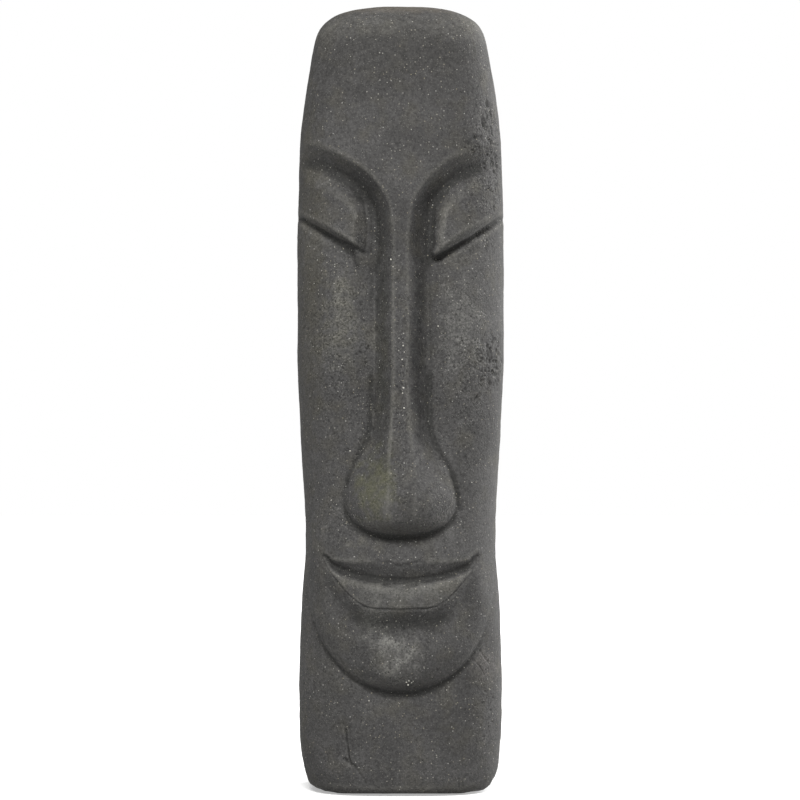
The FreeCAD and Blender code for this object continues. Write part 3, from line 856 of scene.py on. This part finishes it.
# %% Stains, painted shade and highlights, and gritty places
# Each patch, stain, painted shade and painted highlight alike: where it is (across,
# depth, up) and its half sizes, all in mm, its colour and how strongly it covers.
STAINS_AND_PAINTED_LIGHT = (
    ((-29, -104, 305), (25, 40, 46), "#616146", 0.60),
    ((-63, -88, 268), (15, 30, 12), "#8f8e87", 0.60),
    ((56, -90, 256), (22, 30, 18), "#858480", 0.55),
    ((-44, -92, 243), (36, 30, 13), "#77746a", 0.55),
    # Painted highlights below the lower lip, on the chin and on the lower lip.
    ((-24, -100, 164), (30, 40, 26), "#84837d", 0.60),
    ((-4, -100, 136), (30, 40, 30), "#868580", 0.65),
    ((0, -90, 196), (58, 40, 13), "#6e6d68", 0.45),
    # A pale brown band round the crown, partly painted light on the top.
    ((0, 0, 757), (120, 120, 8), "#736b60", 0.40),
    # Painted shade on the top of the forehead.
    ((0, -60, 712), (110, 60, 40), "#383735", 0.60),
    # A browner patch down the left side.
    ((-86, -60, 500), (16, 80, 170), "#504d42", 0.45),
    # Painted highlights on the cheeks.
    ((60, -80, 455), (34, 40, 72), "#767571", 0.55),
    ((-58, -84, 465), (34, 40, 70), "#747268", 0.60),
    # Painted shade under the lids.
    ((-62, -70, 526), (38, 40, 13), "#30302d", 0.45),
    ((62, -70, 526), (38, 40, 13), "#30302e", 0.45),
    # Painted shade under the lower lip.
    ((0, -80, 171), (50, 40, 9), "#2f2f2d", 0.40),
    # Paler patches by the right jaw and under the left jaw.
    ((84, -60, 125), (16, 40, 20), "#77736f", 0.50),
    ((-52, -86, 108), (28, 40, 14), "#6a6966", 0.40),
    # Painted shade down the sides of the nose, on the upper lip, under the nose and on the left jaw.
    ((-18, -90, 430), (8, 60, 100), "#33332c", 0.60),
    ((18, -90, 430), (8, 60, 100), "#2c2c2c", 0.75),
    ((30, -104, 300), (28, 40, 50), "#353433", 0.60),
    ((0, -95, 217), (64, 30, 8), "#2d2d2b", 0.45),
    ((0, -95, 240), (24, 30, 9), "#333331", 0.45),
    ((-72, -70, 140), (20, 60, 90), "#3f3e3b", 0.40),
)
# Where the surface is grittiest: middle, half sizes in mm, and how much.
GRITTY = (
    ((-58, -84, 440), (42, 50, 120), 1.0),
    ((62, -84, 420), (42, 50, 110), 1.0),
    ((-9, -100, 142), (44, 50, 42), 0.9),
    ((0, -105, 380), (9, 40, 120), 1.0),
    ((-60, -88, 262), (34, 40, 26), 0.9),
    ((56, -88, 270), (34, 40, 34), 0.6),
    ((84, -60, 620), (22, 60, 80), 1.0),
)
ZONE_LUMPS = 9  # mm across the lumps that make a zone's edge ragged


def zone(tree, place, middle, half, most, ragged=0.5):
    """A soft-edged region round a place in mm: most in its middle, 0 outside."""
    scaled = add_node(tree, "ShaderNodeMapping", place, named={
        "Location": [-m / h for m, h in zip(middle, half)], "Scale": [1 / (h * MM) for h in half],
    })
    away = add_node(tree, "ShaderNodeVectorMath", scaled, output="Value", operation="LENGTH")
    lumps = add_node(tree, "ShaderNodeTexNoise", place, named={
        "Scale": 1 / (ZONE_LUMPS * MM), "Detail": 3,
    })
    edge = add_node(tree, "ShaderNodeMapRange", lumps, 0.2, 0.8, -ragged, ragged)
    reach = add_node(tree, "ShaderNodeMath", away, edge, operation="ADD")
    return add_node(tree, "ShaderNodeMapRange", reach, 1.15, 0.35, 0, most)


print(len(STAINS_AND_PAINTED_LIGHT), "stains and", len(GRITTY), "gritty places")

# %% [markdown]
# A Map Range node takes a value, the range that it comes in and the range that it
# goes out in, and holds it at both ends. Most of what follows is a noise or a
# distance put through one, and used as the share of a Mix node, which lays one
# colour over another. So the cement is a list of layers, laid one after another.

# %% What the cement's layers are made from
# Each noise: its lumps in mm, its detail and its roughness. The last two are drawn
# coarser than real sand, which is too fine to show.
CEMENT_NOISES = ((46, 3, 0.5), (21, 2, 0.5), (2.1, 2, 0.75), (4.5, 2, 0.6))
# How much of each there is in a smooth place and in a gritty one.
GRAIN_SWING, PORE_COVER, DUST_COVER, BUMP_SWING = (0.34, 0.72), (0.45, 0.85), (0.40, 0.75), (0.4, 0.9)
# Specks: mm between them, their radius in mm, and the share of them left out.
PORES, QUARTZ, DUST = (3.2, 0.70, 0.35), (3.9, 0.66, 0.5), (2.0, 0.46, 0.3)
QUARTZ_COVER = 0.70


def specks(tree, place, cell, radius, rarity):
    """Dots of one radius, one in some of the cells, and a random number for each cell."""
    colour = add_node(tree, "ShaderNodeTexVoronoi", place, named={"Scale": 1 / (cell * MM)},
                      output="Color")
    distance = colour.node.outputs["Distance"]
    dot = add_node(tree, "ShaderNodeMapRange", distance, radius / cell, 0.6 * radius / cell)
    chance = add_node(tree, "ShaderNodeSeparateColor", colour)
    chosen = add_node(tree, "ShaderNodeMapRange", chance, rarity, rarity + 0.02)
    dots = add_node(tree, "ShaderNodeMath", dot, chosen, operation="MULTIPLY")
    return dots, chance.node.outputs["Green"]


def grittiness(tree, place):
    """How gritty each place is, from 0 to 1."""
    gritty = 0.0
    for middle, half, most in GRITTY:
        here = zone(tree, place, middle, half, most, ragged=0.8)
        gritty = add_node(tree, "ShaderNodeMath", gritty, here, operation="MAXIMUM")
    return gritty


def wear_and_shade_layers(tree):
    """Worn ridges and a painted highlight paler, painted shade in the grooves, from an attribute on the
    mesh.
    """
    wear_and_painted_light = add_node(tree, "ShaderNodeAttribute", output="Fac", attribute_name="wear_and_painted_light")
    # Worn ridges, and the painted highlight down the nose, made paler.
    pale_ridge_and_glint = add_node(tree, "ShaderNodeMapRange", wear_and_painted_light, 0.12, 0.8, 0, 0.28)
    # Painted shade: grooves, and lines under the brows and the lower lip, made darker.
    crease_shade = add_node(tree, "ShaderNodeMapRange", wear_and_painted_light, -0.08, -0.6, 0, 0.70)
    return [(pale_ridge_and_glint, paint("#85837c")), (crease_shade, paint("#262624"))]


def speck_layers(tree, place, pores, pore_cover, dust_cover):
    """Dark pores, quartz from buff to white, and pale dust."""
    quartz, tint = specks(tree, place, *QUARTZ)
    dust, _ = specks(tree, place, *DUST)
    grit = add_node(tree, "ShaderNodeMix", tint, output=2, data_type="RGBA", named={
        6: paint("#9a927c"), 7: paint("#c9c8c2"),
    })
    return [
        (add_node(tree, "ShaderNodeMath", pores, pore_cover, operation="MULTIPLY"), paint("#1c1c1b")),
        (add_node(tree, "ShaderNodeMath", quartz, QUARTZ_COVER, operation="MULTIPLY"), grit),
        (add_node(tree, "ShaderNodeMath", dust, dust_cover, operation="MULTIPLY"), paint("#96948d")),
    ]


# %% Cement, for the stone and for the mortar
def cement(name, dark, light, stain_and_light_patches):
    """Cement with grit: two mottling colours, then stains, painted shade and highlights, wear, grain,
    pores and specks.
    """
    material, tree, shader = new_material(name, light, roughness=0.82, specular=0.28)
    place = add_node(tree, "ShaderNodeTexCoord", output="Object")
    broad, patchy, fine, lumpy = [
        add_node(tree, "ShaderNodeTexNoise", place, named={
            "Scale": 1 / (size * MM), "Detail": detail, "Roughness": roughness,
        })
        for size, detail, roughness in CEMENT_NOISES
    ]
    gritty = grittiness(tree, place)
    swing, pore_cover, dust_cover, bump_swing = [
        add_node(tree, "ShaderNodeMapRange", gritty, 0, 1, smooth, rough)
        for smooth, rough in (GRAIN_SWING, PORE_COVER, DUST_COVER, BUMP_SWING)
    ]
    grain = add_node(tree, "ShaderNodeMapRange", fine, 0.32, 0.68, -1, 1)
    coarse = add_node(tree, "ShaderNodeMapRange", lumpy, 0.3, 0.7, -0.16, 0.16)
    shade = add_node(tree, "ShaderNodeMath", grain, swing, operation="MULTIPLY")
    for more in (coarse, 1.0):
        shade = add_node(tree, "ShaderNodeMath", shade, more, operation="ADD")
    pores, _ = specks(tree, place, *PORES)
    mottling = add_node(tree, "ShaderNodeMapRange", broad, 0.35, 0.65)
    warm = add_node(tree, "ShaderNodeMapRange", patchy, 0.5, 0.72, 0, 0.35)
    layers = [(mottling, paint(light)), (warm, paint("#535046"))]
    layers += [(zone(tree, place, *where, cover), paint(patch_colour)) for *where, patch_colour, cover in stain_and_light_patches]
    layers += wear_and_shade_layers(tree) + [(1.0, shade)]
    layers += speck_layers(tree, place, pores, pore_cover, dust_cover)
    colour = paint(dark)
    for share, over in layers:
        colour = add_node(tree, "ShaderNodeMix", share, named={6: colour, 7: over}, output=2,
                          data_type="RGBA", blend_type="MULTIPLY" if over is shade else "MIX")
    tree.links.new(colour, shader.inputs["Base Color"])
    height = add_node(tree, "ShaderNodeMath", grain, bump_swing, operation="MULTIPLY")
    height = add_node(tree, "ShaderNodeMath", height, pores, operation="SUBTRACT")
    bump = add_node(tree, "ShaderNodeBump", named={
        "Strength": 0.55, "Distance": 0.5 * MM, "Height": height,
    })
    tree.links.new(bump, shader.inputs["Normal"])
    return material


stone = cement("charcoal_cast_stone", "#434241", "#4f4e4d", STAINS_AND_PAINTED_LIGHT)
mortar = cement("struck_patching_mortar", "#4b4a46", "#5b5952", ())
print("cement uses", len(stone.node_tree.nodes), "nodes")

# %% [markdown]
# The pieces inside and underneath are seen only when the head is tipped over.
# Glass scrim is an open white cloth, so its colour is broken by a weave 4 mm
# apart. The pads are moulded rubber, matt and nearly black, with a faint bloom.

# %% Glass cloth and rubber, and a finish for every piece
WEAVE = 4  # mm between the strands of the scrim
BLOOM = 6  # mm across the paler patches on the rubber


def glass_cloth():
    """White glass strands one way and the other, and the grey between them."""
    material, tree, shader = new_material("glass_scrim_cloth", "#c9ccc2", roughness=0.6, specular=0.35)
    place = add_node(tree, "ShaderNodeTexCoord", output="Object")
    strands = 0.0
    for direction in ("X", "Z"):
        wave = add_node(tree, "ShaderNodeTexWave", place, output=1, bands_direction=direction, named={
            "Scale": math.pi / 10 / (WEAVE * MM),
        })
        strands = add_node(tree, "ShaderNodeMath", strands, wave, operation="MAXIMUM")
    share = add_node(tree, "ShaderNodeMapRange", strands, 0.4, 0.7)
    colour = add_node(tree, "ShaderNodeMix", share, output=2, data_type="RGBA", named={
        6: paint("#77776f"), 7: paint("#d3d6cc"),
    })
    tree.links.new(colour, shader.inputs["Base Color"])
    return material


def pad_rubber():
    """Black rubber with a faint grey bloom."""
    material, tree, shader = new_material("moulded_black_rubber", "#232323", roughness=0.78, specular=0.3)
    place = add_node(tree, "ShaderNodeTexCoord", output="Object")
    noise = add_node(tree, "ShaderNodeTexNoise", place, named={"Scale": 1 / (BLOOM * MM)})
    bloom = add_node(tree, "ShaderNodeMapRange", noise, 0.3, 0.7)
    colour = add_node(tree, "ShaderNodeMix", bloom, output=2, data_type="RGBA", named={
        6: paint("#1d1d1d"), 7: paint("#2c2b2a"),
    })
    tree.links.new(colour, shader.inputs["Base Color"])
    return material


scrim = glass_cloth()
rubber = pad_rubber()
FINISHES = {
    "front_casting": stone, "back_casting": stone, "base_plate": stone,
    "seam_patch": mortar, "base_mortar": mortar,
    "front_scrim": scrim, "back_scrim": scrim, "seam_tape": scrim,
}
FINISHES |= {name: rubber for name in nodes if name.startswith("foot_pad")}
for name, finish in FINISHES.items():
    piece = nodes.get(name) or bpy.data.objects[name]
    piece.data.materials.clear()
    piece.data.materials.append(finish)
print("finished", len(FINISHES), "pieces")

# %% [markdown]
# ## Quartz grains
#
# A few quartz grains are big enough to stand proud and glint. A painted speck has
# no height, so each of these is a small ball of twenty facets, squeezed unevenly
# and sunk to half its depth in the cement. Two groups lie down the bridge of the
# nose and under the chin's curve, and the rest are scattered.

# %% Set quartz grains in the face
FACETS = 20
# Where each grain is (across, up), in mm.
GRAIN_PLACES = (
    (2.4, 430), (3.6, 424), (1.6, 417), (2.8, 390), (2.0, 385), (3.4, 371), (2.2, 364),
    (5.5, 111), (8.0, 112.5), (10.5, 110.5), (12.0, 112), (7.2, 108.5), (-7, 505), (-9, 512),
    (-48, 330), (-66, 283), (-61, 279), (36, 449), (-30, 92), (44, 102), (68, 300),
)


def quartz_grains():
    """One mesh of grains, each set where a straight line from the front meets the face."""
    grains = []
    for across, up in GRAIN_PLACES:
        start = Vector((across * MM, low.y - 1, up * MM))
        found, place, facing, _ = front_casting.ray_cast(start, Vector((0, 1, 0)))
        if not found:
            continue
        bpy.ops.object.select_all(action="DESELECT")
        bpy.ops.mesh.primitive_ico_sphere_add(
            subdivisions=1, radius=rng.uniform(0.6, 1.05) * MM, location=place,
            rotation=tuple(rng.uniform(0, math.pi, 3)),
        )
        grains.append(bpy.context.object)
        grains[-1].scale = tuple(rng.uniform(0.7, 1.1, 3))
    only(*grains)
    bpy.ops.object.join()
    bpy.ops.object.transform_apply(location=True, rotation=True, scale=True)
    return bpy.context.object


grains = quartz_grains()
grains.name = "quartz_grains"
quartz, _, _ = new_material("milky_quartz", "#d2cfc4", 0.35, 0.5)
grains.data.materials.append(quartz)
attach(grains, "root")
print("quartz grains", len(grains.data.polygons) // FACETS, "of", len(GRAIN_PLACES))

# %% [markdown]
# ## Floor, light and camera
#
# A pale floor and a white surround stand for a studio sweep. The floor glows a
# little more the further it is from the head, so that it runs into the surround
# with no horizon, and its light is kept off the head. The surround looks white to
# the camera, but lights the head only faintly, or it would fill every hollow.

# %% Floor and surround
FLOOR_SIZE = 14  # metres
GLOW_REACH = (0.2, 0.9)  # metres from the head over which the floor's glow grows
FLOOR_GLOW = (0.4, 1.0)
SURROUND_LIGHT, SURROUND_SEEN = 0.18, 1.0

bpy.ops.object.select_all(action="DESELECT")
bpy.ops.mesh.primitive_plane_add(size=FLOOR_SIZE, location=(0, 0, 0))
floor = bpy.context.object
floor.name = "floor"
floor_material, tree, floor_shader = new_material("pale_floor", "#f6f6f5", roughness=0.9, specular=0.1)
place = add_node(tree, "ShaderNodeTexCoord", output="Object")
away = add_node(tree, "ShaderNodeVectorMath", place, output="Value", operation="LENGTH")
glow = add_node(tree, "ShaderNodeMapRange", away, *GLOW_REACH, *FLOOR_GLOW)
tree.links.new(glow, floor_shader.inputs["Emission Strength"])
floor_shader.inputs["Emission Color"].default_value = paint("#ffffff")
floor.data.materials.append(floor_material)
floor.visible_diffuse = False

world = bpy.data.worlds.new("soft_surround")
world.use_nodes = True
tree = world.node_tree
lit = tree.nodes["Background"]
lit.inputs["Color"].default_value = (1, 1, 1, 1)
lit.inputs["Strength"].default_value = SURROUND_LIGHT
seen = add_node(tree, "ShaderNodeBackground", (1, 1, 1, 1), SURROUND_SEEN)
to_camera = add_node(tree, "ShaderNodeLightPath", output="Is Camera Ray")
either = add_node(tree, "ShaderNodeMixShader", to_camera, lit.outputs[0], seen)
tree.links.new(either, tree.nodes["World Output"].inputs["Surface"])
bpy.context.scene.world = world
print("floor", FLOOR_SIZE, "m across")

# %% [markdown]
# One large soft lamp hangs in front, above and a little left of the head, so brows,
# nose and chin each keep a soft edge, and a second one behind on the right draws
# the lighter flank. A sun would be simpler, but its shadows are hard. The camera
# looks level at the head with a long lens, from the front.

# %% Lamps
LAMP_AIM = (0, 0, 0.4)


def area_lamp(name, place, width, height, power):
    """A rectangular softbox at a place, turned to the middle of the head; metres and watts."""
    bpy.ops.object.light_add(type="AREA", location=place)
    lamp = bpy.context.object
    lamp.name = name
    lamp.data.shape = "RECTANGLE"
    lamp.data.size = width
    lamp.data.size_y = height
    lamp.data.energy = power
    lamp.rotation_euler = (Vector(LAMP_AIM) - Vector(place)).to_track_quat("-Z", "Y").to_euler()
    print(name, "at", place)


area_lamp("key_softbox", (-0.45, -4.6, 4.2), width=2.0, height=2.0, power=405)
area_lamp("side_softbox", (1.6, 0.68, 0.95), width=0.8, height=1.6, power=52)

# %% Camera
CAMERA_DISTANCE = 3.0  # metres in front of the seam
CAMERA_ACROSS, CAMERA_HEIGHT = -0.0005, 0.3786
SENSOR_WIDTH = 36  # mm
VIEW_WIDTH = 0.78056  # metres seen across at the seam
camera_data = bpy.data.cameras.new("camera")
camera_data.sensor_width = SENSOR_WIDTH
camera_data.lens = SENSOR_WIDTH * CAMERA_DISTANCE / VIEW_WIDTH
camera = bpy.data.objects.new("camera", camera_data)
camera.location = (CAMERA_ACROSS, parting - CAMERA_DISTANCE, CAMERA_HEIGHT)
camera.rotation_euler = (math.pi / 2, 0, 0)
bpy.context.scene.collection.objects.link(camera)
bpy.context.scene.camera = camera
bpy.context.scene.view_settings.view_transform = "Standard"
print("camera", [round(v, 3) for v in camera.location], "lens", round(camera_data.lens, 1))
